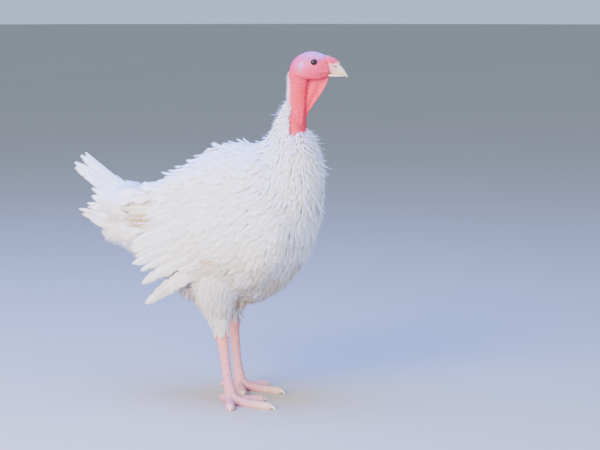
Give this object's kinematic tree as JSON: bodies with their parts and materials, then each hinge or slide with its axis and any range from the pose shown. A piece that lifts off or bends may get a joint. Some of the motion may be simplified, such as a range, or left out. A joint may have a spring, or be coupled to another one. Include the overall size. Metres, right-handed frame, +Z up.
{
  "type": "domestic turkey hen, still life-size model",
  "caption": "White domestic turkey hen standing upright, life size: bare pink head and neck with small snood and dewlap, folded wings, raised tail fan, scaled pink legs and feet.",
  "frame": {"origin": "middle of the bird's bounding box, on the floor under the soles", "axes": "+X the way the body faces, +Y its left side, +Z up"},
  "size_m": [0.579, 0.2826, 0.7179],
  "materials": {
    "plumage": "soft matt feathers",
    "bare_skin": "bare folded skin, faint sheen",
    "horn": "worn pale horn, satin",
    "scaled_skin": "scaled skin, satin",
    "eye": "wet gloss"
  },
  "bodies": {
    "root": {"bill_lower": "horn", "bill_upper": "horn", "claw_left_hind": "horn", "claw_left_inner": "horn", "claw_left_middle": "horn", "claw_left_outer": "horn", "claw_right_hind": "horn", "claw_right_inner": "horn", "claw_right_middle": "horn", "claw_right_outer": "horn", "dewlap": "bare_skin", "eye_left": "eye", "eye_right": "eye", "foot_left": "scaled_skin", "foot_right": "scaled_skin", "head": "bare_skin", "neck_bare": "bare_skin", "neck_feathered": "plumage", "shank_left": "scaled_skin", "shank_right": "scaled_skin", "snood": "bare_skin", "tail": "plumage", "thigh_left": "plumage", "thigh_right": "plumage", "torso": "plumage", "wing_left": "plumage", "wing_right": "plumage"}
  },
  "joints": []
}
